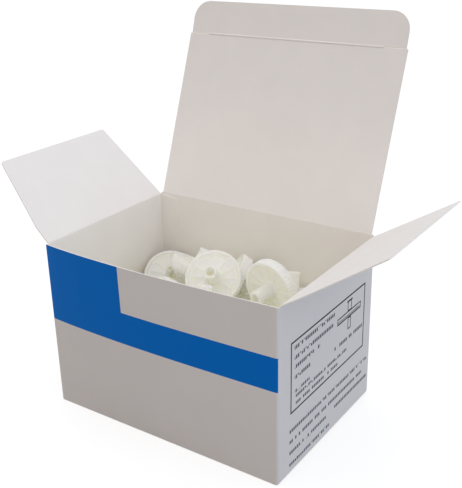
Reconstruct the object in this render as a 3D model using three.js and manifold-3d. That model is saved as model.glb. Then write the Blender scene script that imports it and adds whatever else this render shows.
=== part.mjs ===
// A tuck-top folding carton of 25 mm syringe filters, standing open with the filters loose inside.
// Millimetres. +X runs to the right along the front panel, +Y to the back and +Z up.
// The origin is the centre of the base, on the surface that the carton stands on.
import * as THREE from 'three';
import { mergeVertices } from 'three/addons/utils/BufferGeometryUtils.js';
import Module from 'manifold-3d';

const wasm = await Module();
wasm.setup();

// ---- Driving dimensions: the carton ------------------------------------------------------------
const cartonWidth = 135;
const cartonDepth = 93.2;
const lidCreaseHeight = 91;
const board = 0.5; // thickness of the folding boxboard
const layerGap = 0.3; // between sheets that lie on each other
const creaseGap = 0.4; // between a wall's top and the rolled crease of the flap above it
const foldRadius = 0.9; // outside radius of the three crisp upright folds
const softFoldRadius = 2.4; // the front right fold, which has sprung open a little
const frontBow = 2.8; // how far the front panel's top edge swells outwards
const frontDrop = 1; // front panel's cut top below the lid's crease
const dustDrop = 1; // dust flaps' creases below the lid's crease
const glueFlapWidth = 11;
const glueFlapSlant = 2; // rise of the glue flap's ends across its width

// Lid and its tuck
const lidInset = 1.5; // each side edge of the lid from the carton's side
const lidAngle = 69.1; // degrees above the horizontal, leaning back
const tuckInset = 2.4; // each side edge of the tuck from the carton's side
const tuckLength = 18;
const tuckCornerRadius = 11.5;
const tuckBend = 4; // degrees that the tuck leans in from the lid
const slitLength = 12; // cut along the crease at each end of the tuck
const slitWidth = 0.5;
const tuckClearance = 0.3; // closed tuck to the front panel

// Dust flaps
const dustFlapDepth = 51.4;
const dustFrontGap = 0.4; // between the dust flaps' front edges and the closed tuck
const dustReliefDepth = 9.9; // straight start of the flap's front edge
const dustReliefStep = 0.6;
const dustFrontInset = 11.6; // outer front corner from the front panel
const dustBackInset = 3.8; // outer back corner from the back panel
const dustBackStart = 1; // back end of the crease from the back panel
const dustCornerRadius = 1.6;
const leftDustAngle = 40.4; // degrees above the horizontal, outwards
const rightDustAngle = 32.6;

// Base
const baseTuckLength = 18;
const baseInset = 0.8;

// ---- Driving dimensions: one filter --------------------------------------------------------------
const filterCount = 50;
const housingRadius = 15;
const rimHalfHeight = 2.9;
const rimWidth = 1.6;
const rimDraft = 0.2;
const plateRecess = 1.1; // faces of the housing below the rim's edge
const hubRadius = 3.4; // female luer inlet
const hubTop = 12.4; // from the housing's mid plane
const hubDraft = 0.25;
const lugReach = 0.5; // luer-lock lugs beyond the hub
const lugWidth = 2.6;
const lugHeight = 1.3;
const inletBoreTopRadius = 2.15; // 6% luer taper
const inletBoreDepth = 9.5;
const luerTaper = 0.03; // loss of radius for each millimetre of length
const outletTipRadius = 2.05; // male luer outlet, on the same taper
const outletTip = 11;
const collarRadius = 2.9; // round the outlet's root
const collarLength = 2.2;
const outletBoreRadius = 1.1;
const outletBoreDepth = 7;
const membraneMargin = 0.9; // membrane's edge inside the rim
const membraneThickness = 0.2;
const chamberHeight = 0.4; // hollow above the membrane
const ribCount = 6; // stiffening ribs across each recessed face
const ribWidth = 0.9;
const ribHeight = 0.5;
const shellGap = 0.3; // between the two shells, and each side of the membrane

// ---- Driving values: the heap ------------------------------------------------------------------------
const heapSeed = 32;
const heapClearance = 0.45; // least gap between the filters' true surfaces
const settleTries = 300; // for each filter as it is dropped in
const shakeSweeps = 4500;
const slip = 5; // mm that one shake may move a filter by, at first
const firstShake = 5; // strength of the first shakes, as the height in mm that they lift a filter
const lastShake = 0.2;
const fullFormCount = 22; // topmost filters, which show, are modelled with bores, rims and lugs
const openFilterCount = 2; // of those, modelled as their three separate pieces
const fullFormSides = 12;
const openFormSides = 16;
const buriedSides = 8;

const degree = Math.PI / 180;
const halfWidth = cartonWidth / 2;
const halfDepth = cartonDepth / 2;
const baseTop = 2 * board + layerGap;

// ---- Solids ------------------------------------------------------------------------------------------

// A closed three.js geometry as a solid that can be joined and cut.
function solid(geometry) {
  const bare = geometry.clone();
  bare.deleteAttribute('normal');
  bare.deleteAttribute('uv');
  const merged = mergeVertices(bare, 1e-4);
  const corners = merged.index.array;
  const triangles = [];
  for (let i = 0; i < corners.length; i += 3) {
    const [a, b, c] = corners.subarray(i, i + 3);
    if (a !== b && b !== c && c !== a) triangles.push(a, b, c);
  }
  return new wasm.Manifold(new wasm.Mesh({
    numProp: 3,
    vertProperties: new Float32Array(merged.attributes.position.array),
    triVerts: new Uint32Array(triangles),
  }));
}

function geometryOf(body) {
  const mesh = body.getMesh();
  const geometry = new THREE.BufferGeometry();
  geometry.setAttribute('position', new THREE.BufferAttribute(mesh.vertProperties, 3));
  geometry.setIndex(new THREE.BufferAttribute(mesh.triVerts, 1));
  const flat = geometry.toNonIndexed();
  flat.computeVertexNormals();
  return flat;
}

function boxBetween(low, high) {
  const size = high.map((value, i) => value - low[i]);
  const geometry = new THREE.BoxGeometry(...size);
  geometry.translate(...low.map((value, i) => value + size[i] / 2));
  return solid(geometry);
}

function revolve(profile, sides) {
  return solid(new THREE.LatheGeometry(profile.map(([r, h]) => new THREE.Vector2(r, h)), sides));
}

// A flat outline with some of its corners rounded: each corner is [x, y, radius].
function roundedOutline(corners) {
  const shape = new THREE.Shape();
  corners.forEach(([x, y, radius = 0], i) => {
    const corner = new THREE.Vector2(x, y);
    const towards = (j) => {
      const [nx, ny] = corners[(i + j + corners.length) % corners.length];
      return new THREE.Vector2(nx, ny).sub(corner).normalize().multiplyScalar(radius).add(corner);
    };
    const start = towards(-1);
    const end = towards(1);
    if (i === 0) shape.moveTo(start.x, start.y);
    else shape.lineTo(start.x, start.y);
    if (radius > 0) shape.quadraticCurveTo(x, y, end.x, end.y);
  });
  shape.closePath();
  return shape;
}

// A sheet of board on the XY plane, half its thickness to each side.
function sheet(outline, curveSegments = 4) {
  const geometry = new THREE.ExtrudeGeometry(outline, { depth: board, bevelEnabled: false, curveSegments });
  geometry.translate(0, 0, -board / 2);
  return solid(geometry);
}

// A sheet that stands on edge along X, with its back face at y.
function upright(outline, thickness, y) {
  const geometry = new THREE.ExtrudeGeometry(
    outline, { depth: thickness, bevelEnabled: false, curveSegments: 4 });
  geometry.rotateX(90 * degree);
  geometry.translate(0, y, 0);
  return solid(geometry);
}

// The rolled edge along a crease, from one point of the XY plane to another.
function creaseRoll(from, to) {
  const start = new THREE.Vector3(...from, 0);
  const run = new THREE.Vector3(...to, 0).sub(start);
  const geometry = new THREE.CylinderGeometry(board / 2, board / 2, run.length(), 8);
  geometry.applyQuaternion(new THREE.Quaternion().setFromUnitVectors(
    new THREE.Vector3(0, 1, 0), run.clone().normalize()));
  geometry.translate(...start.addScaledVector(run, 0.5).toArray());
  return solid(geometry);
}

// ---- Carton body: four walls, glue flap and tucked base, folded from one sheet ---------------------

const frontTop = lidCreaseHeight - frontDrop;
const dustCrease = lidCreaseHeight - dustDrop;
const backTop = lidCreaseHeight - board / 2 - creaseGap;
const sideTop = dustCrease - board / 2 - creaseGap;
const sideBottom = board + layerGap;
const tuckBack = 2 * board + tuckClearance; // back face of a closed tuck from the front panel's face
const dustCreaseFront = -halfDepth + tuckBack + dustFrontGap;
const dustCreaseBack = halfDepth - board - dustBackStart;

// The front panel swells most near its top and left of the middle.
function frontSwell(share, rise) {
  return frontBow * Math.sin(Math.PI * share ** 0.77) * rise ** 0.65;
}

// Stations round the walls, anticlockwise from above: place, outward direction and edge heights.
function wallStations() {
  const stations = [];
  const frontSteps = 14;
  const foldSteps = 3;
  const front = { bottom: 0, top: frontTop };
  const side = { bottom: sideBottom, top: sideTop };
  const back = { bottom: 0, top: backTop };
  const mix = (a, b, t) => a + (b - a) * t;
  const fold = (cx, cy, radius, startAngle, before, after) => {
    for (let i = 0; i <= foldSteps; i += 1) {
      const t = i / foldSteps;
      const angle = (startAngle + 90 * t) * degree;
      const out = [Math.cos(angle), Math.sin(angle)];
      stations.push({
        x: cx + radius * out[0],
        y: cy + radius * out[1],
        out,
        swell: null,
        bottom: mix(before.bottom, after.bottom, t),
        top: mix(before.top, after.top, t),
      });
    }
  };
  const frontLeft = -halfWidth + foldRadius;
  const frontRight = halfWidth - softFoldRadius;
  for (let i = 1; i < frontSteps; i += 1) {
    const share = i / frontSteps;
    const x = mix(frontLeft, frontRight, share);
    stations.push({ x, y: -halfDepth, out: [0, -1], swell: share, ...front });
  }
  fold(frontRight, -halfDepth + softFoldRadius, softFoldRadius, -90, front, side);
  fold(halfWidth - foldRadius, halfDepth - foldRadius, foldRadius, 0, side, back);
  fold(-halfWidth + foldRadius, halfDepth - foldRadius, foldRadius, 90, back, side);
  fold(frontLeft, -halfDepth + foldRadius, foldRadius, 180, side, front);
  return stations;
}

// The walls as one thin tube, lofted through level rings of the stations.
function walls() {
  const levels = [0, 0.06, 0.16, 0.3, 0.46, 0.64, 0.82, 1];
  const stations = wallStations();
  const positions = [];
  for (const inset of [0, board]) {
    for (const rise of levels) {
      for (const s of stations) {
        const swell = s.swell === null ? 0 : frontSwell(s.swell, rise);
        const z = s.bottom + (s.top - s.bottom) * rise;
        positions.push(s.x - s.out[0] * inset, s.y - s.out[1] * inset - swell, z);
      }
    }
  }
  const count = stations.length;
  const at = (skin, level, station) => (skin * levels.length + level) * count + (station % count);
  const faces = [];
  const quad = (a, b, c, d) => faces.push(a, b, c, a, c, d);
  const top = levels.length - 1;
  for (let s = 0; s < count; s += 1) {
    for (let l = 0; l < top; l += 1) {
      quad(at(0, l, s), at(0, l, s + 1), at(0, l + 1, s + 1), at(0, l + 1, s));
      quad(at(1, l, s + 1), at(1, l, s), at(1, l + 1, s), at(1, l + 1, s + 1));
    }
    quad(at(0, top, s), at(0, top, s + 1), at(1, top, s + 1), at(1, top, s));
    quad(at(0, 0, s + 1), at(0, 0, s), at(1, 0, s), at(1, 0, s + 1));
  }
  const geometry = new THREE.BufferGeometry();
  geometry.setAttribute('position', new THREE.Float32BufferAttribute(positions, 3));
  geometry.setIndex(faces);
  return solid(geometry);
}

// The strip from the left wall that is glued inside the back wall.
function glueFlap() {
  const left = -halfWidth + board / 2;
  const right = left + glueFlapWidth;
  const low = baseTop + layerGap;
  const high = backTop - board;
  const outline = roundedOutline([
    [left, low], [right, low + glueFlapSlant, 1], [right, high - glueFlapSlant, 1], [left, high],
  ]);
  const thickness = 1.5 * board; // half a board of it lies in the back wall that it is glued to
  return upright(outline, thickness, halfDepth - board / 2);
}

const lidHalfWidth = halfWidth - lidInset;
const tuckHalfWidth = halfWidth - tuckInset;

// A tuck's outline from its crease on the X axis, with a slit cut in along each end of the crease.
function tuckOutline(length, half) {
  const creaseHalf = half - slitLength;
  return roundedOutline([
    [half, slitWidth], [half, length, tuckCornerRadius],
    [-half, length, tuckCornerRadius], [-half, slitWidth],
    [-creaseHalf, slitWidth], [-creaseHalf, 0], [creaseHalf, 0], [creaseHalf, slitWidth],
  ]);
}

// The closing panel of the base, with its tuck behind the front panel and two flaps above it.
function base() {
  const panelFront = -halfDepth + board + tuckClearance;
  const panelHalf = halfWidth - baseInset;
  const panel = boxBetween([-panelHalf, panelFront, 0], [panelHalf, halfDepth - board / 2, board]);
  const tuck = upright(tuckOutline(baseTuckLength, tuckHalfWidth), board, panelFront + board)
    .translate([0, 0, board / 2]);
  const dustFlap = (side) => {
    const flap = sheet(dustOutline(-side));
    return flap.translate([side * (halfWidth - board / 2), 0, sideBottom + board / 2]);
  };
  return panel.add(tuck).add(dustFlap(1)).add(dustFlap(-1));
}

// A dust flap's outline, from its crease on the Y axis towards -X or +X.
function dustOutline(side) {
  return roundedOutline([
    [0, dustCreaseFront],
    [side * dustReliefDepth, dustCreaseFront + dustReliefStep],
    [side * dustFlapDepth, -halfDepth + dustFrontInset, dustCornerRadius],
    [side * dustFlapDepth, halfDepth - dustBackInset, dustCornerRadius],
    [0, dustCreaseBack],
  ]);
}

function cartonBody() {
  return walls().add(glueFlap()).add(base());
}

// ---- Flaps that swing -------------------------------------------------------------------------------

// From the lid's crease to the tuck's, so that the closed tuck slides in behind the front panel.
const lidLength = cartonDepth - (board + tuckClearance + board / 2);

function lidPanel() {
  const end = lidLength - board / 2 - creaseGap;
  const outline = roundedOutline([
    [-lidHalfWidth, 0], [lidHalfWidth, 0], [lidHalfWidth, end], [-lidHalfWidth, end],
  ]);
  return sheet(outline).add(creaseRoll([-lidHalfWidth, 0], [lidHalfWidth, 0]));
}

function tuckFlap() {
  const rollHalf = tuckHalfWidth - slitLength;
  return sheet(tuckOutline(tuckLength, tuckHalfWidth), 6)
    .add(creaseRoll([-rollHalf, 0], [rollHalf, 0]));
}

function dustFlap(side) {
  return sheet(dustOutline(side)).add(creaseRoll([0, dustCreaseFront], [0, dustCreaseBack]));
}

// ---- Filters ----------------------------------------------------------------------------------------
// Each is turned about its own Y axis, with its housing's mid plane at 0 and its inlet upwards.

const plate = rimHalfHeight - plateRecess;
const rimInner = housingRadius - rimWidth;
const membraneRadius = rimInner - membraneMargin;
const lugSpan = 2 * (hubRadius + lugReach);
const inletBoreBottomRadius = inletBoreTopRadius - inletBoreDepth * luerTaper;

// The male luer and its collar, from the tip to the plate.
const outlet = [
  [outletTipRadius, -outletTip],
  [outletTipRadius + (outletTip - plate - collarLength) * luerTaper, -plate - collarLength],
  [collarRadius, -plate - collarLength],
  [collarRadius, -plate],
];

// The raised rim round each face, from the plate outwards.
const lowerRim = [
  [rimInner - rimDraft, -plate],
  [rimInner, -rimHalfHeight],
  [housingRadius, -rimHalfHeight],
];
const upperRim = lowerRim.map(([r, h]) => [r, -h]).reverse();

function lugs() {
  return solid(new THREE.BoxGeometry(lugSpan, lugHeight, lugWidth).translate(0, hubTop - lugHeight / 2, 0));
}

// A cone or cylinder from h0 to h1 on the axis.
function taper(r0, h0, r1, h1, sides) {
  return revolve([[0, h0], [r0, h0], [r1, h1], [0, h1]], sides);
}

function inletBore(sides) {
  const over = 1;
  return taper(inletBoreBottomRadius, hubTop - inletBoreDepth,
    inletBoreTopRadius + over * luerTaper, hubTop + over, sides);
}

// A welded filter in one piece, with its bores, recessed faces and lugs.
function fullFilter(sides) {
  const body = revolve([
    [0, -outletTip], ...outlet, ...lowerRim, ...upperRim,
    [hubRadius + hubDraft, plate], [hubRadius, hubTop], [0, hubTop],
  ], sides);
  const outletBore = taper(
    outletBoreRadius, -outletTip - 1, outletBoreRadius, -outletTip + outletBoreDepth, sides);
  return body.add(lugs()).subtract(inletBore(sides)).subtract(outletBore);
}

// The same filter with plain faces and no bores, for where others hide it.
function buriedFilter(sides) {
  return revolve([
    [0, -outletTip], [outletTipRadius, -outletTip], [collarRadius, -rimHalfHeight],
    [housingRadius, -rimHalfHeight], [housingRadius, rimHalfHeight],
    [hubRadius + hubDraft, rimHalfHeight], [hubRadius, hubTop], [0, hubTop],
  ], sides);
}

// Radial ribs on the upper plate, from a hub's or collar's wall to the rim.
function plateRibs(hubWall) {
  const sunk = 0.15; // of each end and of the underside
  const from = hubWall - sunk;
  const length = rimInner + sunk - from;
  const rib = new THREE.BoxGeometry(length, ribHeight + sunk, ribWidth)
    .translate(from + length / 2, plate + (ribHeight - sunk) / 2, 0);
  const turned = Array.from({ length: ribCount }, (_, i) => (
    solid(rib.clone().rotateY((2 * Math.PI * (i + 0.5)) / ribCount))));
  return wasm.Manifold.union(turned);
}

// The inlet shell: luer hub, cover plate and the upper part of the rim, hollow over the membrane.
function inletShell(sides) {
  const seam = shellGap / 2 + membraneThickness / 2 + shellGap;
  const roof = membraneThickness / 2 + chamberHeight;
  return revolve([
    [inletBoreBottomRadius, roof], [membraneRadius, seam], [housingRadius, seam],
    ...upperRim,
    [hubRadius + hubDraft, plate], [hubRadius, hubTop],
    [inletBoreTopRadius, hubTop], [inletBoreBottomRadius, hubTop - inletBoreDepth],
    [inletBoreBottomRadius, roof],
  ], sides)
    .add(lugs().subtract(taper(hubRadius - 0.3, 0, hubRadius - 0.3, hubTop + 1, sides)))
    .add(plateRibs(hubRadius + hubDraft));
}

// The outlet shell: the seat that carries the membrane, the lower rim and the luer tip.
function outletShell(sides) {
  const seat = -membraneThickness / 2 - shellGap;
  const seam = shellGap / 2 + membraneThickness / 2;
  const floor = seat - 0.3;
  return revolve([
    [outletBoreRadius, -outletTip], ...outlet, ...lowerRim,
    [housingRadius, seam], [membraneRadius + shellGap, seam], [membraneRadius + shellGap, seat],
    [membraneRadius - 1, seat], [membraneRadius - 1.5, floor], [outletBoreRadius, floor - 0.4],
    [outletBoreRadius, -outletTip],
  ], sides).add(plateRibs(collarRadius).mirror([0, 1, 0]));
}

function membrane(sides) {
  const half = membraneThickness / 2;
  return taper(membraneRadius, -half, membraneRadius, half, sides);
}

// ---- The heap ---------------------------------------------------------------------------------------

// Numbers from 0 to 1 that come out the same on every run.
function seededRandom(seed) {
  let state = seed >>> 0;
  return () => {
    state = (Math.imul(state, 1664525) + 1013904223) >>> 0;
    return state / 2 ** 32;
  };
}

// A filter's outer form as three cylinders on its axis: [radius, from, to].
const envelope = [
  [housingRadius, -rimHalfHeight, rimHalfHeight],
  [lugSpan / 2, 0, hubTop],
  [collarRadius, -outletTip, 0],
];
const reach = heapClearance
  + Math.max(...envelope.map(([radius, from, to]) => Math.hypot(radius, Math.max(-from, to))));

// Points on the envelope, in rings of [radius, height, count], as [height, across, across].
const hubMiddle = (hubTop + rimHalfHeight) / 2;
const outletMiddle = -(outletTip + rimHalfHeight) / 2;
const plateMiddle = 0.55 * housingRadius;
const feelers = [
  [housingRadius, rimHalfHeight, 72], [housingRadius, -rimHalfHeight, 72],
  [plateMiddle, rimHalfHeight, 10], [plateMiddle, -rimHalfHeight, 10],
  [lugSpan / 2, hubTop, 12], [lugSpan / 2, hubMiddle, 8],
  [outletTipRadius, -outletTip, 8], [collarRadius, outletMiddle, 8],
].flatMap(([radius, height, count]) => Array.from({ length: count }, (_, i) => {
  const angle = (2 * Math.PI * i) / count;
  return [height, radius * Math.cos(angle), radius * Math.sin(angle)];
}));

// The room that the heap lies in: inside the walls, the glue flap and the base's tuck.
const room = {
  x: halfWidth - board,
  front: -halfDepth + tuckBack,
  back: halfDepth - 2 * board,
  floor: baseTop,
};

// A filter's place: its centre, its axis and where its feelers then are, as x, y, z in turn.
function placed(centre, axis) {
  const side = new THREE.Vector3(axis.y, axis.z, axis.x).cross(axis).normalize();
  const other = new THREE.Vector3().crossVectors(axis, side);
  const points = new Float64Array(3 * feelers.length);
  feelers.forEach(([height, u, v], i) => {
    points[3 * i] = centre.x + axis.x * height + side.x * u + other.x * v;
    points[3 * i + 1] = centre.y + axis.y * height + side.y * u + other.y * v;
    points[3 * i + 2] = centre.z + axis.z * height + side.z * u + other.z * v;
  });
  return { centre, axis, points };
}

function inRoom({ points }) {
  for (let i = 0; i < points.length; i += 3) {
    const [x, y, z] = [points[i], points[i + 1], points[i + 2]];
    if (Math.abs(x) > room.x - heapClearance || z < room.floor + heapClearance) return false;
    if (y < room.front + heapClearance || y > room.back - heapClearance) return false;
  }
  return true;
}

// True where one of a filter's feelers comes within the clearance of the other filter.
function touches({ points }, { centre, axis }) {
  for (let i = 0; i < points.length; i += 3) {
    const dx = points[i] - centre.x;
    const dy = points[i + 1] - centre.y;
    const dz = points[i + 2] - centre.z;
    const along = dx * axis.x + dy * axis.y + dz * axis.z;
    const across = Math.sqrt(Math.max(dx * dx + dy * dy + dz * dz - along * along, 0));
    for (const [radius, from, to] of envelope) {
      if (Math.max(across - radius, from - along, along - to) < heapClearance) return true;
    }
  }
  return false;
}

function fits(trial, others) {
  return inRoom(trial) && others.every((other) => (
    other.centre.distanceTo(trial.centre) > 2 * reach
    || (!touches(trial, other) && !touches(other, trial))));
}

// One random slip and tip of a filter. It is kept where it fits and lies lower, and sometimes
// where it lies a little higher, the more so the harder the carton is shaken.
function shake(heap, i, size, strength, random) {
  const jitter = () => new THREE.Vector3(random() - 0.5, random() - 0.5, random() - 0.5);
  const { centre, axis } = heap[i];
  const trial = placed(
    centre.clone().addScaledVector(jitter(), size),
    axis.clone().addScaledVector(jitter(), (2 * size) / housingRadius).normalize());
  const rise = trial.centre.z - heap[i].centre.z;
  if (rise > 0 && random() >= Math.exp(-rise / strength)) return false;
  if (!fits(trial, heap.filter((_, j) => j !== i))) return false;
  heap[i] = trial;
  return true;
}

// Drops the filters one by one, then shakes the carton ever more gently so that they bed down.
function pileUp() {
  const random = seededRandom(heapSeed);
  const heap = [];
  const spread = (half) => (2 * random() - 1) * (half - housingRadius);
  while (heap.length < filterCount) {
    const centre = new THREE.Vector3(spread(halfWidth), spread(halfDepth), 3 * lidCreaseHeight);
    const axis = new THREE.Vector3(random() - 0.5, random() - 0.5, random() - 0.5).normalize();
    let dropped = placed(centre, axis);
    let step = housingRadius;
    while (step > heapClearance) {
      const trial = placed(dropped.centre.clone().setZ(dropped.centre.z - step), axis);
      if (fits(trial, heap)) dropped = trial;
      else step /= 2;
    }
    if (inRoom(dropped)) {
      heap.push(dropped);
      for (let i = 0; i < settleTries; i += 1) shake(heap, heap.length - 1, slip, lastShake, random);
    }
  }
  let size = slip;
  for (let sweep = 0; sweep < shakeSweeps; sweep += 1) {
    const strength = firstShake * (lastShake / firstShake) ** (sweep / shakeSweeps);
    let kept = 0;
    for (let i = 0; i < filterCount; i += 1) kept += shake(heap, i, size, strength, random);
    size = kept > 0.3 * filterCount ? Math.min(size * 1.05, 10) : Math.max(size / 1.05, 0.3);
  }
  return heap.sort((a, b) => a.centre.z - b.centre.z);
}

// ---- Assembly ---------------------------------------------------------------------------------------

const boxboard = { color: 0xe9e6e2, roughness: 0.6, metalness: 0 };
const polypropylene = { color: 0xe6e8d6, roughness: 0.35, metalness: 0 };
const ptfe = { color: 0xf7f7f4, roughness: 0.8, metalness: 0 };

function piece(name, body, finish) {
  const mesh = new THREE.Mesh(geometryOf(body), new THREE.MeshStandardMaterial(finish));
  mesh.name = name;
  return mesh;
}

function hinge(x, y, z, axis, degrees) {
  const group = new THREE.Group();
  group.position.set(x, y, z);
  group.rotation[axis] = degrees * degree;
  return group;
}

const carton = new THREE.Group();
carton.add(piece('carton_body', cartonBody(), boxboard));

const lidHinge = hinge(0, halfDepth, lidCreaseHeight, 'x', lidAngle);
lidHinge.add(piece('lid_panel', lidPanel(), boxboard));
const tuckHinge = hinge(0, lidLength, 0, 'x', tuckBend);
tuckHinge.add(piece('tuck_flap', tuckFlap(), boxboard));
lidHinge.add(tuckHinge);
carton.add(lidHinge);

const leftHinge = hinge(-halfWidth, 0, dustCrease, 'y', leftDustAngle);
leftHinge.add(piece('left_dust_flap', dustFlap(-1), boxboard));
const rightHinge = hinge(halfWidth, 0, dustCrease, 'y', -rightDustAngle);
rightHinge.add(piece('right_dust_flap', dustFlap(1), boxboard));
carton.add(leftHinge, rightHinge);

const up = new THREE.Vector3(0, 1, 0);
const heap = pileUp();
const firstFull = filterCount - fullFormCount;
const firstOpen = filterCount - openFilterCount;
heap.forEach(({ centre, axis }, i) => {
  const name = `filter_${String(i + 1).padStart(2, '0')}`;
  const place = new THREE.Group();
  place.position.copy(centre);
  place.quaternion.setFromUnitVectors(up, axis);
  if (i >= firstOpen) {
    place.add(piece(`${name}_inlet_shell`, inletShell(openFormSides), polypropylene));
    place.add(piece(`${name}_membrane`, membrane(openFormSides), ptfe));
    place.add(piece(`${name}_outlet_shell`, outletShell(openFormSides), polypropylene));
  } else if (i >= firstFull) {
    place.add(piece(name, fullFilter(fullFormSides), polypropylene));
  } else {
    place.add(piece(name, buriedFilter(buriedSides), polypropylene));
  }
  carton.add(place);
});

export default carton;
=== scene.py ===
"""Looks of an open tuck-top carton with its heap of syringe filters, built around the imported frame.

+X runs to the right along the front panel, +Y to the back and +Z up. Meshes are made in
millimetres and turned to metres as they are placed.
"""
import math

import bmesh
import bpy
import numpy as np
from mathutils import Matrix, Vector


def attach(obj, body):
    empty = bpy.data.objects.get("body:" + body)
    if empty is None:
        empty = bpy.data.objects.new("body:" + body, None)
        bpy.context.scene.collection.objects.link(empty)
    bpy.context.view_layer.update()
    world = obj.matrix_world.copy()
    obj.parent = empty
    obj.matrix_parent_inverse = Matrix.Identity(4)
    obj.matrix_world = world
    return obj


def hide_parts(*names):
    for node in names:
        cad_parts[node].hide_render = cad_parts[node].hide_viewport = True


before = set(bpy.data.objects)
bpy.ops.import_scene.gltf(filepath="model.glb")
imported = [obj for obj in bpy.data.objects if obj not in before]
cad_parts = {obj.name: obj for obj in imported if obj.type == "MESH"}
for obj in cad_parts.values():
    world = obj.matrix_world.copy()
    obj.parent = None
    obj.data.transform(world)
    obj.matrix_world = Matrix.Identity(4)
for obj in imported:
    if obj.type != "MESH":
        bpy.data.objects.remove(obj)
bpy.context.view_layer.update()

MM = 0.001

# ---- Sizes of the carton, in millimetres ---------------------------------------------------------

HALF_WIDTH = 67.5
HALF_DEPTH = 46.6
BOARD = 0.5
LAYER_GAP = 0.3  # between sheets that lie on each other
CLEARANCE = 0.02  # between pieces that would otherwise touch

FOLD_RADIUS = 0.9
SOFT_FOLD_RADIUS = 1.3  # the front right fold
FRONT_BOW = 2.78
BOW_LEAN = 0.77  # below 1, which brings the widest place left of the middle
BOW_GROWTH = 0.65  # below 1, so that the bow grows fastest low down
FRONT_TOP = 90
BACK_TOP = 90.6  # clear of the bead along the lid's crease
SIDE_TOP = 89.5  # clear of the beads along the dust flaps' creases
SIDE_BOTTOM = 0.8
RIGHT_SLOPE = 1.5  # run of the cut edge from the front panel's top down to the right side's
# Shares of their height at which the walls have a ring of corners.
RISES = [0, 0.03, 0.08, 0.15, 0.25, 0.36, 0.48, 0.6, 0.72, 0.84, 0.93, 1]
FRONT_CUTS = 41  # across the front panel, so that it can bow

# How far a wall's face looks one way, of 1, past which it is one of these.
EDGE_FACE = 0.7  # up or down: an edge of the board
FRONT_FACE = 0.42  # to the front: the printed front panel, with some of its folds
END_FACE = 0.6  # to the right: the printed end panel, with some of its folds
FOOT_HEIGHT = 5  # every edge below this is a cut one

GLUE_FLAP_WIDTH = 11
GLUE_FLAP_GAP = 0.05
GLUE_FLAP_SPAN = (1.9, 89.6)
GLUE_FLAP_SLANT = 2
GLUE_FLAP_CORNER = 1

LID_CREASE = 91
LID_HALF_WIDTH = 66
LID_LENGTH = 92.15
LID_ANGLE = 69.1  # above level, in degrees, like the other flaps' angles
TUCK_HALF_WIDTH = 65.1
TUCK_LENGTH = 18
TUCK_CORNER = 9.8
TUCK_BEND = 4  # degrees inwards from the lid
SLIT_LENGTH = 12
SLIT_BEVEL = 0.27  # from the crease to where a slit's edge has the board's full thickness
NOTCH_GAP = 0.04
TUCK_BEAD = 0.6  # radius of the ridge that the score leaves along the tuck's crease
CREASE_BEAD = 0.3

DUST_CREASE = 90
DUST_DEPTH = 51.4
DUST_CREASE_FRONT = -44.9
DUST_CREASE_BACK = 45.1
DUST_RELIEF = (9.9, 0.6)  # the front edge's first part: how long it is and how far it leans
DUST_FRONT_INSET = 11.6
DUST_BACK_INSET = 3.8
DUST_CORNER = 1.4
LEFT_DUST_ANGLE = 40.4
RIGHT_DUST_ANGLE = 32.6

BASE_INSET = 0.8
BASE_EDGE = 0.3  # from its tuck's face back to the base panel's edge, within the bead

# ---- Sizes of a filter, in millimetres, from the middle of its housing ---------------------------

HOUSING_RADIUS = 15
STEPS = 96  # round each filter
PLATE_HEIGHT = 1.8
RIB_HEIGHT = 0.55
RIB_SPAN = (5, 11.4)
RIB_STEPS = 8  # from one rib to the next
LUG_REACH = 0.5
LUG_STEPS = 6  # from the middle of a lug to its end
LUG_ROOT = ((3.3, 3.5), (11.15, 12.15))  # radii and heights on the hub
GRIP_RADIUS = 14.9  # corners outside this are on the rim's grip
FLUTE_RADIUS = 14.68  # to the bottom of the grip's grooves
SMOOTH_RADIUS = 14.5  # faces outside this are flat, so that the grooves are crisp
SHARP_ANGLE = 32  # degrees between faces, past which their edge isn't smoothed

# Half of a filter's outline, (radius, height), from the floor of the inlet bore out to the rim.
INLET_PROFILE = [
    (0, 2.9), (1.86, 2.9), (2.12, 11.9), (2.35, 12.4), (3.2, 12.4), (3.4, 12.2), (3.42, 11.1),
    (3.5, 4.2), (3.75, 2.9), (4.3, 2.1), (5.2, 1.8), (11.5, 1.8), (11.8, 2.1), (12.5, 2.1),
    (12.8, 1.8), (13.15, 1.8), (13.35, 2.55), (13.65, 2.9), (14.65, 2.9), (14.95, 2.6),
    (14.95, 0.4),
]
OUTLET_PROFILE = [
    (0, -4), (1.1, -4), (1.1, -10.75), (1.3, -11), (1.85, -11), (2.05, -10.7), (2.26, -4.2),
    (2.7, -4.0), (2.9, -3.8), (2.9, -2.5), (3.3, -1.95), (4.0, -1.8), (11.5, -1.8), (11.8, -2.1),
    (12.5, -2.1), (12.8, -1.8), (13.15, -1.8), (13.35, -2.55), (13.65, -2.9), (14.65, -2.9),
    (14.95, -2.6), (14.95, -0.4),
]
SEAM = [(14.7, 0.2), (14.7, -0.2)]  # groove where the two shells are welded

# ---- Print, in millimetres along and up each panel -----------------------------------------------

PROCESS_BLUE = "#0273D4"
PRINT_BLACK = "#20232C"
SMALL_PRINT_GREY = "#444A5A"

BLOCK_WIDTH = 49.4
BAND = (48.9, 65.9)
BAND_MARGIN = 0.25  # bare board at the band's right end
BLEED = 1  # how far print runs past the edge that cuts it off

LABEL = ((10.8, 31.9), (84.8, 68.3))
LABEL_LINE = 0.9
DRAWING_LINE = 0.65
HATCH_PITCH = 1.1
HATCH_SHARE = 0.5

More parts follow.
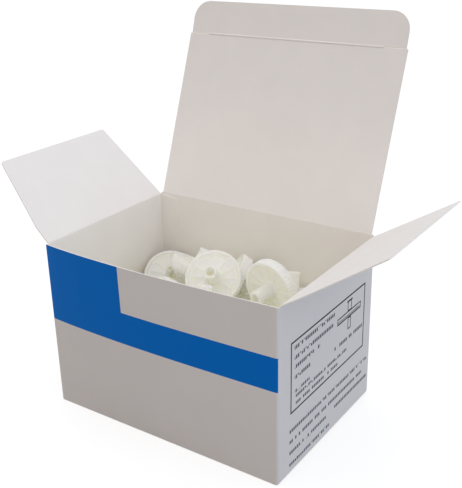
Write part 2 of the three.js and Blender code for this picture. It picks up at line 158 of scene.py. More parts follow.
# Rows of small print on the end panel: from, to, middle height and thickness.
LABEL_ROWS = [
    (14.1, 52.0, 64.5, 1.9), (14.2, 50.5, 59.4, 1.9), (14.3, 37.7, 54.7, 1.9),
    (14.4, 29.4, 49.3, 1.9), (49.5, 82.7, 45.2, 1.9),
    (14.5, 28.1, 42.1, 1.6), (15.6, 65.6, 39.3, 1.6), (15.6, 56.5, 35.6, 1.6),
]
FOOT_ROWS = [
    (9.8, 89.6, 22.8, 1.8), (9.9, 84.1, 17.1, 1.8), (10.0, 45.6, 11.1, 1.8),
    (54.3, 90.6, 11.9, 1.8), (10.1, 48.8, 4.7, 1.7),
]
DASH_PITCH = 1.7
DASH_SHARE = 0.7  # of the pitch that is inked
ROW_PITCH = 2.6
SKIPPED = 0.15  # share of the dashes left out at random, as the spaces between words

# ---- Light ---------------------------------------------------------------------------------------

FILL = 0.88  # strength of the surroundings' light, with its tints from three sides
ABOVE = "#FBFAFC"
IN_FRONT = "#E8DDD4"
BEHIND = "#E6F3FF"
FLOOR_LIT = "#8C8C8C"  # the floor's shade for the light it gives back
FLOOR_SEEN = "#AAAAAA"  # its shade as it is seen, and the light that whitens it there
FLOOR_LIFT = 0.72

# Each softbox's name, place and side in metres, watts and tint.
SOFTBOXES = [
    ("overhead", (-0.3, 0.2, 1.25), 0.9, 1.8, "#FFFDFA"),
    ("window", (1.25, -0.1, 0.3), 0.8, 3.3, "#CFE2FF"),
]
SOFTBOX_AIM = (0, 0, 0.06)


# ---- Camera --------------------------------------------------------------------------------------

def add_camera():
    """A camera a little to the right of the front, above the carton and tipped by a degree."""
    azimuth, elevation, roll = (math.radians(a) for a in (34.472, 22.307, -1.285))
    turn = (
        Matrix.Rotation(azimuth, 4, "Z")
        @ Matrix.Rotation(math.pi / 2 - elevation, 4, "X")
        @ Matrix.Rotation(roll, 4, "Z")
    )
    aim = Matrix.Translation((0, 0, 0.04537))
    stand_off = Matrix.Translation((0.009578, 0.039353, 0.428271))
    data = bpy.data.cameras.new("camera")
    data.lens = 60.981
    data.clip_start = 0.01
    camera = bpy.data.objects.new("camera", data)
    camera.matrix_world = aim @ turn @ stand_off
    bpy.context.collection.objects.link(camera)
    bpy.context.scene.camera = camera


# ---- Materials -----------------------------------------------------------------------------------

def linear(code):
    """A colour written as sRGB hex, in the linear values that shaders take."""
    channels = [int(code[i:i + 2], 16) / 255 for i in (1, 3, 5)]
    return [c / 12.92 if c <= 0.04045 else ((c + 0.055) / 1.055) ** 2.4 for c in channels] + [1.0]


def add(tree, kind, inputs=None, **settings):
    """Adds a node. Each input is a value to set or another node's output to link."""
    node = tree.nodes.new(kind)
    for name, value in settings.items():
        setattr(node, name, value)
    for socket, value in (inputs or {}).items():
        if isinstance(value, bpy.types.NodeSocket):
            tree.links.new(value, node.inputs[socket])
        else:
            node.inputs[socket].default_value = value
    return node


def new_material(name, **values):
    """A material with its Principled shader's constant values set, and that shader."""
    material = bpy.data.materials.new(name)
    material.use_nodes = True
    tree = material.node_tree
    shader = tree.nodes["Principled BSDF"]
    for socket, value in values.items():
        shader.inputs[socket.replace("_", " ")].default_value = value
    return material, tree, shader


def object_millimetres(tree):
    """Object coordinates in millimetres."""
    place = add(tree, "ShaderNodeTexCoord").outputs["Object"]
    in_mm = add(tree, "ShaderNodeVectorMath", {0: place, "Scale": 1 / MM}, operation="SCALE")
    return in_mm.outputs[0]


def mottled(tree, point, low, high, grain):
    """A colour that wanders between two close shades, in patches of a grain in millimetres."""
    noise = add(tree, "ShaderNodeTexNoise", {"Vector": point, "Scale": 1 / grain, "Detail": 3.0})
    share = add(tree, "ShaderNodeMapRange", {0: noise.outputs[0], 1: 0.35, 2: 0.65}).outputs[0]
    shades = {0: share, 6: linear(low), 7: linear(high)}
    return add(tree, "ShaderNodeMix", shades, data_type="RGBA").outputs[2]


def rough_skin(tree, shader, point, size, detail, strength, depth):
    """Raises the surface in bumps of a size and depth in millimetres."""
    noise = add(tree, "ShaderNodeTexNoise", {"Vector": point, "Scale": 1 / size, "Detail": detail})
    height = {"Height": noise.outputs[0], "Strength": strength, "Distance": depth * MM}
    bump = add(tree, "ShaderNodeBump", height)
    tree.links.new(bump.outputs[0], shader.inputs["Normal"])


def boxboard_reverse():
    """Uncoated reverse of folding boxboard: warm white and matt, with fibres, faintly clouded."""
    material, tree, shader = new_material(
        "boxboard_reverse", Roughness=0.72, Specular_IOR_Level=0.35)
    point = object_millimetres(tree)
    colour = mottled(tree, point, "#F1EEEC", "#F3F0EE", 14)
    tree.links.new(colour, shader.inputs["Base Color"])
    # Fibres are about 0.03 mm thick; they are drawn ten times as coarse so that they show.
    rough_skin(tree, shader, point, 0.35, 4.0, 0.35, 0.05)
    return material


def coated_board(name, inks=None):
    """Clay-coated face of folding boxboard: smooth and satin, with offset ink under a varnish."""
    material, tree, shader = new_material(name, Roughness=0.4, Specular_IOR_Level=0.06)
    point = object_millimetres(tree)
    colour = mottled(tree, point, "#E7E4E3", "#E9E6E5", 20)
    for mask, ink in (inks(tree, point) if inks else ()):
        inked = {0: mask, 6: colour, 7: linear(ink)}
        colour = add(tree, "ShaderNodeMix", inked, data_type="RGBA").outputs[2]
    tree.links.new(colour, shader.inputs["Base Color"])
    # The coating's own unevenness is finer than this; it is drawn at 0.6 mm so that it shows.
    rough_skin(tree, shader, point, 0.6, 2.0, 0.15, 0.03)
    return material


def cut_edge():
    """Edge of the board where the die cut it: its bare core, pale, rough and fibrous."""
    material, tree, shader = new_material("boxboard_cut_edge", Roughness=0.85)
    colour = mottled(tree, object_millimetres(tree), "#F4F1E8", "#FCFAF4", 0.6)
    tree.links.new(colour, shader.inputs["Base Color"])
    return material


def moulded_polypropylene():
    """Natural polypropylene, moulded: milky, faintly yellow green, with a satin gloss."""
    material, tree, shader = new_material(
        "natural_polypropylene", Roughness=0.34, IOR=1.49, Subsurface_Weight=1.0,
        Subsurface_Scale=0.005, Subsurface_Radius=(1.0, 0.95, 0.75))
    point = object_millimetres(tree)
    colour = mottled(tree, point, "#FBFBEF", "#FDFDF4", 5)
    tree.links.new(colour, shader.inputs["Base Color"])
    # A moulding's sink and flow marks, drawn shallow.
    rough_skin(tree, shader, point, 0.9, 2.0, 0.2, 0.04)
    return material


# ---- Print ---------------------------------------------------------------------------------------

def rectangle(tree, point, low, high):
    """1 inside a rectangle of a panel and 0 outside."""
    middle = [(a + b) / 2 for a, b in zip(low, high)] + [0]
    half = [(b - a) / 2 for a, b in zip(low, high)]
    offset = add(tree, "ShaderNodeVectorMath", {0: point, 1: middle}, operation="SUBTRACT")
    distance = add(tree, "ShaderNodeVectorMath", {0: offset.outputs[0]}, operation="ABSOLUTE")
    along = add(tree, "ShaderNodeSeparateXYZ", {0: distance.outputs[0]})
    inside = [
        add(tree, "ShaderNodeMath", {0: along.outputs[i], 1: half[i]}, operation="LESS_THAN")
        for i in (0, 1)
    ]
    both = {i: test.outputs[0] for i, test in enumerate(inside)}
    return add(tree, "ShaderNodeMath", both, operation="MULTIPLY").outputs[0]


def ruled(tree, point, low, high, line):
    """The outline of a rectangle, drawn with a line of that width inside its edge."""
    outer = rectangle(tree, point, low, high)
    inner = rectangle(tree, point, [a + line for a in low], [b - line for b in high])
    return add(tree, "ShaderNodeMath", {0: outer, 1: inner}, operation="SUBTRACT").outputs[0]


def any_of(tree, masks):
    """1 where any of the masks is 1."""
    joined = masks[0]
    for mask in masks[1:]:
        joined = add(tree, "ShaderNodeMath", {0: joined, 1: mask}, operation="MAXIMUM").outputs[0]
    return joined


def stripes(tree, mask, distance, pitch, share):
    """The mask cut into stripes that repeat every pitch millimetres and fill that share of it."""
    turns = add(tree, "ShaderNodeMath", {0: distance, 1: pitch}, operation="DIVIDE").outputs[0]
    part = add(tree, "ShaderNodeMath", {0: turns}, operation="FRACT").outputs[0]
    on = add(tree, "ShaderNodeMath", {0: part, 1: share}, operation="LESS_THAN").outputs[0]
    return add(tree, "ShaderNodeMath", {0: mask, 1: on}, operation="MULTIPLY").outputs[0]


def panel_point(tree, point, across, start):
    """Millimetres along a panel from its left edge, and up it, in X and Y."""
    parts = add(tree, "ShaderNodeSeparateXYZ", {0: point})
    along = add(tree, "ShaderNodeMath", {0: parts.outputs[across], 1: start}, operation="SUBTRACT")
    return add(tree, "ShaderNodeCombineXYZ", {0: along.outputs[0], 1: parts.outputs[2]}).outputs[0]


def front_inks(tree, point):
    """A blue block at the front's upper left, running on into a band to its right edge."""
    panel = panel_point(tree, point, 0, -HALF_WIDTH)
    corner = (-BLEED, BAND[0])
    block = rectangle(tree, panel, corner, (BLOCK_WIDTH, FRONT_TOP + BLEED))
    band = rectangle(tree, panel, corner, (2 * HALF_WIDTH - BAND_MARGIN, BAND[1]))
    return [(any_of(tree, [block, band]), PROCESS_BLUE)]


def dashes(tree, panel, rows):
    """Rows of short plain dashes with gaps, where the real panel has small print."""
    lines = any_of(tree, [
        rectangle(tree, panel, (start, middle - thick / 2), (end, middle + thick / 2))
        for start, end, middle, thick in rows
    ])
    parts = add(tree, "ShaderNodeSeparateXYZ", {0: panel})
    cells = {}
    for i, pitch in enumerate((DASH_PITCH, ROW_PITCH)):
        place = {0: parts.outputs[i], 1: pitch}
        count = add(tree, "ShaderNodeMath", place, operation="DIVIDE").outputs[0]
        cells[i] = add(tree, "ShaderNodeMath", {0: count}, operation="FLOOR").outputs[0]
    corner = add(tree, "ShaderNodeCombineXYZ", cells).outputs[0]
    chance = add(tree, "ShaderNodeTexWhiteNoise", {"Vector": corner}, noise_dimensions="2D")
    test = {0: chance.outputs[0], 1: SKIPPED}
    kept = add(tree, "ShaderNodeMath", test, operation="GREATER_THAN").outputs[0]
    inked = add(tree, "ShaderNodeMath", {0: lines, 1: kept}, operation="MULTIPLY").outputs[0]
    return stripes(tree, inked, parts.outputs[0], DASH_PITCH, DASH_SHARE)


def end_inks(tree, point):
    """A ruled label with dashes and a side view of a filter, and more dashes below it."""
    panel = panel_point(tree, point, 1, -HALF_DEPTH)
    along = add(tree, "ShaderNodeSeparateXYZ", {0: panel}).outputs[0]
    membrane = rectangle(tree, panel, (55.9, 57.0), (79.3, 58.4))
    drawing = any_of(tree, [
        ruled(tree, panel, *LABEL, LABEL_LINE),
        ruled(tree, panel, (55.0, 56.4), (80.2, 60.1), DRAWING_LINE),  # housing
        rectangle(tree, panel, (55.0, 59.4), (80.2, 60.1)),  # its upper edge
        stripes(tree, membrane, along, HATCH_PITCH, HATCH_SHARE),
        ruled(tree, panel, (65.7, 59.9), (69.9, 65.8), DRAWING_LINE),  # inlet hub
        rectangle(tree, panel, (65.0, 64.8), (70.6, 65.8)),  # its lip
        ruled(tree, panel, (66.1, 49.9), (69.5, 56.5), DRAWING_LINE),  # outlet stem
    ])
    small_print = dashes(tree, panel, LABEL_ROWS + FOOT_ROWS)
    return [(small_print, SMALL_PRINT_GREY), (drawing, PRINT_BLACK)]


# ---- Making pieces -------------------------------------------------------------------------------

def piece(name, bm, materials, body, nodes=(), place=None):
    """Turns a mesh in millimetres into a piece that rides on a body and replaces CAD nodes."""
    matrix = Matrix.Scale(MM, 4) @ (place or Matrix())
    bmesh.ops.transform(bm, matrix=matrix, verts=bm.verts)
    mesh = bpy.data.meshes.new(name)
    bm.to_mesh(mesh)
    bm.free()
    for material in materials:
        mesh.materials.append(material)
    made = bpy.data.objects.new(name, mesh)
    bpy.context.collection.objects.link(made)
    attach(made, body)
    if nodes:
        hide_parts(*nodes)
    return made


def shifted(x, y, z):
    return Matrix.Translation((x, y, z))


def turned(angle, axis):
    return Matrix.Rotation(math.radians(angle), 4, axis)


def rounded_face(bm, corners, height=0.0):
    """A flat face with some corners rounded: each corner is (x, y, radius)."""
    verts = [bm.verts.new((x, y, height)) for x, y, _ in corners]
    bm.faces.new(verts)
    for vert, (_, _, radius) in zip(verts, corners):
        if radius:
            bmesh.ops.bevel(
                bm, geom=[vert], offset=radius, offset_type="OFFSET", segments=8, profile=0.5,
                affect="VERTICES", material=-1)


INSIDE, OUTSIDE, CUT = 0, 1, 2


def board_sheet(corners):
    """A flat sheet of board on the XY plane, with its inner side up and three materials."""
    bm = bmesh.new()
    rounded_face(bm, corners, -BOARD / 2)
    grown = bmesh.ops.extrude_face_region(bm, geom=bm.faces[:])
    top = [v for v in grown["geom"] if isinstance(v, bmesh.types.BMVert)]
    bmesh.ops.translate(bm, vec=(0, 0, BOARD), verts=top)
    bmesh.ops.recalc_face_normals(bm, faces=bm.faces[:])
    for face in bm.faces:
        level = face.normal.z
        face.material_index = INSIDE if level > 0.5 else OUTSIDE if level < -0.5 else CUT
    return bm


def pinch_slit(sheet, edge, tip):
    """Draws a slit's edge out to a tip half way through the board, as the knife leaves it."""
    everything = sheet.verts[:] + sheet.edges[:] + sheet.faces[:]
    bmesh.ops.bisect_plane(sheet, geom=everything, plane_co=(0, 0, 0), plane_no=(0, 0, 1))
    for vert in sheet.verts:
        if abs(vert.co.z) < 1e-6 and abs(vert.co.y - edge) < 1e-4:
            vert.co.y = tip


def add_bead(bm, start, end, radius):
    """The rolled ridge that a score leaves along a crease."""
    run = Vector(end) - Vector(start)
    turn = Vector((0, 0, 1)).rotation_difference(run).to_matrix().to_4x4()
    bmesh.ops.create_cone(
        bm, cap_ends=True, segments=16, radius1=radius, radius2=radius, depth=run.length,
        matrix=Matrix.Translation((Vector(start) + Vector(end)) / 2) @ turn)


# ---- Carton --------------------------------------------------------------------------------------

def share_round_fold(distance, radius):
    """How far round a quarter fold a point is, from its distance behind the first face."""
    return math.acos(max(-1, min(1, 1 - distance / radius))) / (math.pi / 2)


def wall_span(x, y):
    """Bottom and top of the walls at a place round the carton, and its share along the front."""
    front, side, back = (0, FRONT_TOP), (SIDE_BOTTOM, SIDE_TOP), (0, BACK_TOP)
    front_reach = RIGHT_SLOPE if x > 0 else FOLD_RADIUS
    if y + HALF_DEPTH < front_reach:
        t = share_round_fold(y + HALF_DEPTH, front_reach)
        span = [a + (b - a) * t for a, b in zip(front, side)]
    elif HALF_DEPTH - y < FOLD_RADIUS:
        t = share_round_fold(HALF_DEPTH - y, FOLD_RADIUS)
        span = [a + (b - a) * t for a, b in zip(back, side)]
    else:
        span = side
    left = -HALF_WIDTH + FOLD_RADIUS
    right = HALF_WIDTH - SOFT_FOLD_RADIUS
    share = (x - left) / (right - left) if y < -HALF_DEPTH + 1e-4 else None
    return span, share


def front_swell(share, rise):
    """How far the front panel swells outwards, most near its top and left of the middle."""
    if share is None or not 0 < share < 1:
        return 0
    return FRONT_BOW * math.sin(math.pi * share ** BOW_LEAN) * rise ** BOW_GROWTH


WALL_INSIDE, WALL_FRONT, WALL_END, WALL_CUT, WALL_OUTSIDE = range(5)


def outwardness(face):
    """Above 0 where a wall's face looks away from the middle of the carton."""
    place = face.calc_center_median()
    return face.normal.x * place.x + face.normal.y * place.y


def wall_material(face):
    """Which of the walls' materials a face has. A wall's top is a cut edge only at the front."""
    if abs(face.normal.z) > EDGE_FACE:
        place = face.calc_center_median()
        cut = place.y < -HALF_DEPTH + SOFT_FOLD_RADIUS or place.z < FOOT_HEIGHT
        return WALL_CUT if cut else WALL_INSIDE
    if outwardness(face) < 0:
        return WALL_INSIDE
    if face.normal.y < -FRONT_FACE:
        return WALL_FRONT
    return WALL_END if face.normal.x > END_FACE else WALL_OUTSIDE


def carton_walls():
    """Four walls folded from one sheet, with rounded upright folds and a swollen front panel."""
    bm = bmesh.new()
    rounded_face(bm, [
        (-HALF_WIDTH, -HALF_DEPTH, FOLD_RADIUS), (HALF_WIDTH, -HALF_DEPTH, SOFT_FOLD_RADIUS),
        (HALF_WIDTH, HALF_DEPTH, FOLD_RADIUS), (-HALF_WIDTH, HALF_DEPTH, FOLD_RADIUS),
    ])
    bmesh.ops.delete(bm, geom=bm.faces[:], context="FACES_ONLY")
    along_front = [e for e in bm.edges if all(v.co.y < -HALF_DEPTH + 1e-4 for v in e.verts)]
    longest = max(along_front, key=lambda edge: edge.calc_length())
    bmesh.ops.subdivide_edges(bm, edges=[longest], cuts=FRONT_CUTS)
    ring = bm.edges[:]
    rise_of = {vert: 0 for vert in bm.verts}
    for rise in RISES[1:]:
        grown = bmesh.ops.extrude_edge_only(bm, edges=ring)["geom"]
        for vert in grown:
            if isinstance(vert, bmesh.types.BMVert):
                rise_of[vert] = rise
        ring = [
            e for e in grown
            if isinstance(e, bmesh.types.BMEdge) and all(rise_of.get(v) == rise for v in e.verts)
        ]
    for vert, rise in rise_of.items():
        (low, high), share = wall_span(vert.co.x, vert.co.y)
        vert.co = (vert.co.x, vert.co.y - front_swell(share, rise), low + (high - low) * rise)
    bmesh.ops.recalc_face_normals(bm, faces=bm.faces[:])
    if sum(outwardness(face) for face in bm.faces) < 0:
        bmesh.ops.reverse_faces(bm, faces=bm.faces[:])
    bmesh.ops.solidify(bm, geom=bm.faces[:], thickness=BOARD)
    for face in bm.faces:
        face.material_index = wall_material(face)
        face.smooth = abs(face.normal.z) < EDGE_FACE
    return bm


def glue_flap():
    """The strip from the left wall, glued inside the back wall."""
    left = -HALF_WIDTH + BOARD + GLUE_FLAP_GAP
    right = -HALF_WIDTH + BOARD / 2 + GLUE_FLAP_WIDTH
    low, high = GLUE_FLAP_SPAN
    return board_sheet([
        (left, low, 0), (right, low + GLUE_FLAP_SLANT, GLUE_FLAP_CORNER),
        (right, high - GLUE_FLAP_SLANT, GLUE_FLAP_CORNER), (left, high, 0),
    ])


def tuck_sheet():
    """A tuck from its crease on the X axis, slit at each end, and half the crease's span."""
    half, length = TUCK_HALF_WIDTH, TUCK_LENGTH
    inner = half - SLIT_LENGTH
    tuck = board_sheet([
        (half, SLIT_BEVEL, 0), (half, length, TUCK_CORNER), (-half, length, TUCK_CORNER),
        (-half, SLIT_BEVEL, 0), (-inner, SLIT_BEVEL, 0), (-inner, 0, 0), (inner, 0, 0),
        (inner, SLIT_BEVEL, 0),
    ])
    return tuck, inner


def dust_flap_sheet(side):
    """A dust flap from its crease on the Y axis towards -X or +X."""
    first, lean = DUST_RELIEF
    corners = [
        (0, DUST_CREASE_FRONT, 0),
        (side * first, DUST_CREASE_FRONT + lean, 0),
        (side * DUST_DEPTH, -HALF_DEPTH + DUST_FRONT_INSET, DUST_CORNER),
        (side * DUST_DEPTH, HALF_DEPTH - DUST_BACK_INSET, DUST_CORNER),
        (0, DUST_CREASE_BACK, 0),
    ]
    return board_sheet(corners if side > 0 else corners[::-1])


def add_walls(board):
    """The walls, and the glue flap that joins them."""
    faces = [board[key] for key in ("inside", "front", "end", "cut", "outside")]
    walls = piece("carton_walls", carton_walls(), faces, "carton", ["carton_body"])
    even = walls.modifiers.new("even_shading", "WEIGHTED_NORMAL")
    even.keep_sharp = True
    back_face = shifted(0, HALF_DEPTH - 1.5 * BOARD - CLEARANCE, 0) @ turned(90, "X")
    piece("glue_flap", glue_flap(), board["sheet"], "carton", place=back_face)


def add_base(board):
    """The closing panel, with its tuck behind the front panel, and two dust flaps above it."""
    front = -HALF_DEPTH + BOARD + LAYER_GAP
    half = HALF_WIDTH - BASE_INSET
    edge, back = front + BASE_EDGE, HALF_DEPTH - BOARD
    panel = board_sheet([(-half, edge, 0), (half, edge, 0), (half, back, 0), (-half, back, 0)])
    tuck, inner = tuck_sheet()
    crease = front + BOARD / 2
    add_bead(panel, (-inner, crease, 0), (inner, crease, 0), BOARD / 2)
    piece("base_panel", panel, board["sheet"], "carton", place=shifted(0, 0, BOARD / 2))
    up_front = shifted(0, crease, BOARD / 2) @ turned(90, "X") @ turned(180, "Y")
    piece("base_tuck", tuck, board["sheet"], "carton", place=up_front)
    for name, side in (("base_left_flap", -1), ("base_right_flap", 1)):
        at = shifted(side * (HALF_WIDTH - BOARD - CLEARANCE), 0, SIDE_BOTTOM + BOARD / 2)
        piece(name, dust_flap_sheet(-side), board["sheet"], "carton", place=at)


def add_lid(board):
    """The lid, notched for the bead of the tuck's crease, and the tuck."""
    tuck, inner = tuck_sheet()
    pinch_slit(tuck, SLIT_BEVEL, CLEARANCE)
    add_bead(tuck, (-inner, 0, 0), (inner, 0, 0), TUCK_BEAD)
    slit = LID_LENGTH - SLIT_BEVEL
    notch = LID_LENGTH - TUCK_BEAD - CLEARANCE
    notch_half = inner + NOTCH_GAP
    lid = board_sheet([
        (-LID_HALF_WIDTH, 0, 0), (LID_HALF_WIDTH, 0, 0), (LID_HALF_WIDTH, slit, 0),
        (notch_half, slit, 0), (notch_half, notch, 0), (-notch_half, notch, 0),
        (-notch_half, slit, 0), (-LID_HALF_WIDTH, slit, 0),
    ])
    pinch_slit(lid, slit, LID_LENGTH - CLEARANCE)
    add_bead(lid, (-LID_HALF_WIDTH, 0, 0), (LID_HALF_WIDTH, 0, 0), CREASE_BEAD)
    lid_place = shifted(0, HALF_DEPTH, LID_CREASE) @ turned(LID_ANGLE, "X")
    piece("lid_board", lid, board["sheet"], "lid", ["lid_panel"], lid_place)
    tuck_place = lid_place @ shifted(0, LID_LENGTH, 0) @ turned(TUCK_BEND, "X")
    piece("tuck_board", tuck, board["sheet"], "tuck", ["tuck_flap"], tuck_place)


def add_dust_flaps(board):
    """The two flaps on the side walls' creases."""
    for name, side, angle in (("left", -1, LEFT_DUST_ANGLE), ("right", 1, -RIGHT_DUST_ANGLE)):
        flap = dust_flap_sheet(side)
        add_bead(flap, (0, DUST_CREASE_FRONT, 0), (0, DUST_CREASE_BACK, 0), CREASE_BEAD)
        at = shifted(side * HALF_WIDTH, 0, DUST_CREASE) @ turned(angle, "Y")
        nodes = [f"{name}_dust_flap"]
        piece(f"{name}_dust_board", flap, board["sheet"], f"{name}_flap", nodes, at)


# ---- Filters -------------------------------------------------------------------------------------

def steps_round(place):
    """How many of the filter's steps a place is round its axis."""
    return (math.atan2(place.z, place.x) % (2 * math.pi)) / (2 * math.pi / STEPS)


def radius_at(place):
    return math.hypot(place.x, place.z)


def on_rib(face):
    """Whether a face of the recessed plates is to rise as part of a rib."""
    place = face.calc_center_median()
    on_plate = abs(face.normal.y) > 0.99 and abs(abs(place.y) - PLATE_HEIGHT) < 0.1
    in_span = RIB_SPAN[0] < radius_at(place) < RIB_SPAN[1]
    return on_plate and in_span and math.floor(steps_round(place)) % RIB_STEPS == 0


def raise_ribs(bm):
    """Stiffening ribs across both recessed plates."""
    ribs = [face for face in bm.faces if on_rib(face)]
    for face in bmesh.ops.extrude_discrete_faces(bm, faces=ribs)["faces"]:
        lift = (0, math.copysign(RIB_HEIGHT, face.normal.y), 0)
        bmesh.ops.translate(bm, vec=lift, verts=face.verts[:])


def on_lug(face):
    """Whether a face of the inlet hub's end is to rise as part of a lug."""
    place = face.calc_center_median()
    half_turn = STEPS // 2
    step = math.floor(steps_round(place)) % half_turn
    in_turn = step < LUG_STEPS or step >= half_turn - LUG_STEPS
    (inner, outer), (low, high) = LUG_ROOT
    return in_turn and inner < radius_at(place) < outer and low < place.y < high


def raise_lugs(bm):
    """Two luer-lock lugs at the end of the inlet hub."""
    lugs = [face for face in bm.faces if on_lug(face)]
    for vert in bmesh.ops.extrude_face_region(bm, geom=lugs)["geom"]:
        if isinstance(vert, bmesh.types.BMVert):
            vert.co += Vector((vert.co.x, 0, vert.co.z)).normalized() * LUG_REACH
    bmesh.ops.delete(bm, geom=[f for f in lugs if f.is_valid], context="FACES_ONLY")


def cut_flutes(bm):
    """Fine upright grooves round the rim, which fingers grip."""
    for vert in bm.verts:
        radius = radius_at(vert.co)
        if radius > GRIP_RADIUS and round(steps_round(vert.co)) % 2:
            vert.co.x *= FLUTE_RADIUS / radius
            vert.co.z *= FLUTE_RADIUS / radius


def filter_mesh():
    """A 25 mm filter about its own Y axis, inlet up: hub with lugs, ribs, fluted rim, outlet."""
    bm = bmesh.new()
    outline = INLET_PROFILE + SEAM + OUTLET_PROFILE[::-1]
    verts = [bm.verts.new((r, h, 0)) for r, h in outline]
    edges = [bm.edges.new(pair) for pair in zip(verts, verts[1:])]
    bmesh.ops.spin(
        bm, geom=verts + edges, axis=(0, 1, 0), cent=(0, 0, 0), angle=2 * math.pi, steps=STEPS,
        use_merge=True)
    bmesh.ops.remove_doubles(bm, verts=bm.verts[:], dist=1e-4)
    bmesh.ops.recalc_face_normals(bm, faces=bm.faces[:])
    raise_ribs(bm)
    raise_lugs(bm)
    cut_flutes(bm)
    bmesh.ops.recalc_face_normals(bm, faces=bm.faces[:])
    for face in bm.faces:
        face.smooth = radius_at(face.calc_center_median()) < SMOOTH_RADIUS
    for edge in bm.edges:
        edge.smooth = edge.is_manifold and edge.calc_face_angle(0) < math.radians(SHARP_ANGLE)
    return bm


def closed_solid(nodes):
    """Corners and triangle corners, in millimetres, of a filter's CAD nodes."""
    corners, triangles = [], []
    for node in nodes:
        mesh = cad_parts[node].data
        mesh.calc_loop_triangles()
        spots = np.array([v.co for v in mesh.vertices]) / MM
        corners.append(spots)
        triangles.append(spots[[t.vertices[:] for t in mesh.loop_triangles]])
    return np.concatenate(corners), np.concatenate(triangles)


def filter_place(nodes):
    """The matrix from a filter's own frame to where its CAD nodes are.

    A filter is a wide disc on its axis, so the axis is the direction of least spread of its
    volume. The inlet's end is the further one from the middle of the rim.
    """
    corners, triangles = closed_solid(nodes)
    share = np.einsum("ij,ij->i", triangles[:, 0], np.cross(triangles[:, 1], triangles[:, 2])) / 6
    total = triangles.sum(axis=1)
    centre = share @ total / 4 / share.sum()
    second = np.einsum("i,ij,ik->jk", share, total, total)
    second += np.einsum("i,inj,ink->jk", share, triangles, triangles)
    spread = second / 20 / share.sum() - np.outer(centre, centre)
    axis = np.linalg.eigh(spread)[1][:, 0]
    heights = (corners - centre) @ axis
    distance = np.linalg.norm(corners - centre - np.outer(heights, axis), axis=1)
    rim = heights[distance > 0.97 * HOUSING_RADIUS]
    middle = (rim.min() + rim.max()) / 2
    centre = centre + axis * middle
    if heights.max() - middle < middle - heights.min():
        axis = -axis
    turn = Vector((0, 1, 0)).rotation_difference(Vector(axis)).to_matrix().to_4x4()
    return Matrix.Translation(Vector(centre)) @ turn


def add_filters(polypropylene):
    """A moulded filter in the place of each CAD one."""
    groups = {}
    for name in sorted(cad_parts):
        if name.startswith("filter_"):
            groups.setdefault(name[:len("filter_00")], []).append(name)
    pattern = filter_mesh()
    for name, nodes in groups.items():
        piece(name + "_moulding", pattern.copy(), [polypropylene], "carton", nodes,
              filter_place(nodes))
    pattern.free()


# ---- Studio --------------------------------------------------------------------------------------

def seen_rays(tree):
    """1 for rays that show the surroundings, straight or in gloss and glass, and 0 for light."""
    path = add(tree, "ShaderNodeLightPath")
    kinds = ("Is Camera Ray", "Is Glossy Ray", "Is Transmission Ray")
    return any_of(tree, [path.outputs[kind] for kind in kinds])


def add_world():
    """Surroundings seen as plain white, whose light is warm from the front, cool from behind."""
    world = bpy.data.worlds.new("white_room")
    bpy.context.scene.world = world
    world.use_nodes = True
    tree = world.node_tree
    seen = seen_rays(tree)
    direction = add(tree, "ShaderNodeTexCoord").outputs["Generated"]
    along = add(tree, "ShaderNodeSeparateXYZ", {0: direction})
    behind = add(tree, "ShaderNodeMapRange", {0: along.outputs[1], 1: -0.4, 2: 0.4}).outputs[0]
    above = add(tree, "ShaderNodeMapRange", {0: along.outputs[2], 1: 0.35, 2: 0.95}).outputs[0]
    colour = linear(IN_FRONT)
    for share, tint in ((behind, BEHIND), (above, ABOVE), (seen, "#FFFFFF")):
        blend = {0: share, 6: colour, 7: linear(tint)}
        colour = add(tree, "ShaderNodeMix", blend, data_type="RGBA").outputs[2]
    strength = add(tree, "ShaderNodeMapRange", {0: seen, 3: FILL, 4: 1.0}).outputs[0]
    background = tree.nodes["Background"]
    tree.links.new(colour, background.inputs["Color"])
    tree.links.new(strength, background.inputs["Strength"])


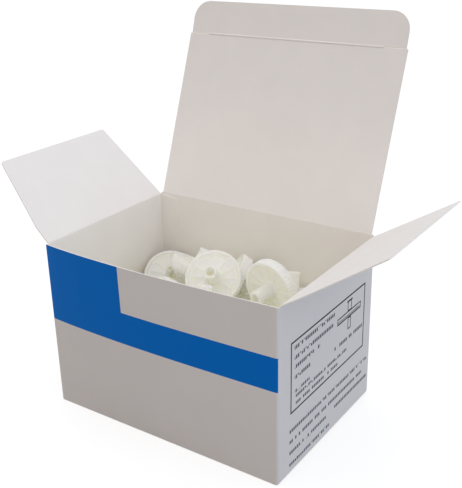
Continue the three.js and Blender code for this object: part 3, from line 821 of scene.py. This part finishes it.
def add_floor():
    """A matt floor, seen as white but for a soft shadow. Its light on the carton is weaker."""
    material, tree, shader = new_material("white_floor", Roughness=0.9, Specular_IOR_Level=0.0)
    seen = seen_rays(tree)
    shades = {0: seen, 6: linear(FLOOR_LIT), 7: linear(FLOOR_SEEN)}
    shade = add(tree, "ShaderNodeMix", shades, data_type="RGBA").outputs[2]
    lift = add(tree, "ShaderNodeMapRange", {0: seen, 4: FLOOR_LIFT}).outputs[0]
    tree.links.new(shade, shader.inputs["Base Color"])
    tree.links.new(lift, shader.inputs["Emission Strength"])
    shader.inputs["Emission Color"].default_value = linear("#FFFFFF")
    bm = bmesh.new()
    bmesh.ops.create_grid(bm, x_segments=1, y_segments=1, size=3)
    mesh = bpy.data.meshes.new("floor")
    bm.to_mesh(mesh)
    bm.free()
    mesh.materials.append(material)
    floor = bpy.data.objects.new("floor", mesh)
    floor.location.z = -0.2 * MM
    bpy.context.collection.objects.link(floor)


def add_softbox(name, place, size, watts, tint):
    """A square soft light that faces the carton."""
    data = bpy.data.lights.new(name, "AREA")
    data.shape = "SQUARE"
    data.size = size
    data.energy = watts
    data.color = linear(tint)[:3]
    lamp = bpy.data.objects.new(name, data)
    run = Vector(SOFTBOX_AIM) - Vector(place)
    turn = run.to_track_quat("-Z", "Y").to_matrix().to_4x4()
    lamp.matrix_world = Matrix.Translation(place) @ turn
    bpy.context.collection.objects.link(lamp)


add_camera()
add_world()
add_floor()
for softbox in SOFTBOXES:
    add_softbox(*softbox)

board = {
    "inside": boxboard_reverse(),
    "outside": coated_board("coated_boxboard"),
    "front": coated_board("printed_front_board", front_inks),
    "end": coated_board("printed_end_board", end_inks),
    "cut": cut_edge(),
}
board["sheet"] = [board["inside"], board["outside"], board["cut"]]
add_walls(board)
add_base(board)
add_lid(board)
add_dust_flaps(board)
add_filters(moulded_polypropylene())

bpy.context.scene.view_settings.view_transform = "Standard"
bpy.context.scene.cycles.max_bounces = 20
bpy.context.scene.cycles.diffuse_bounces = 16
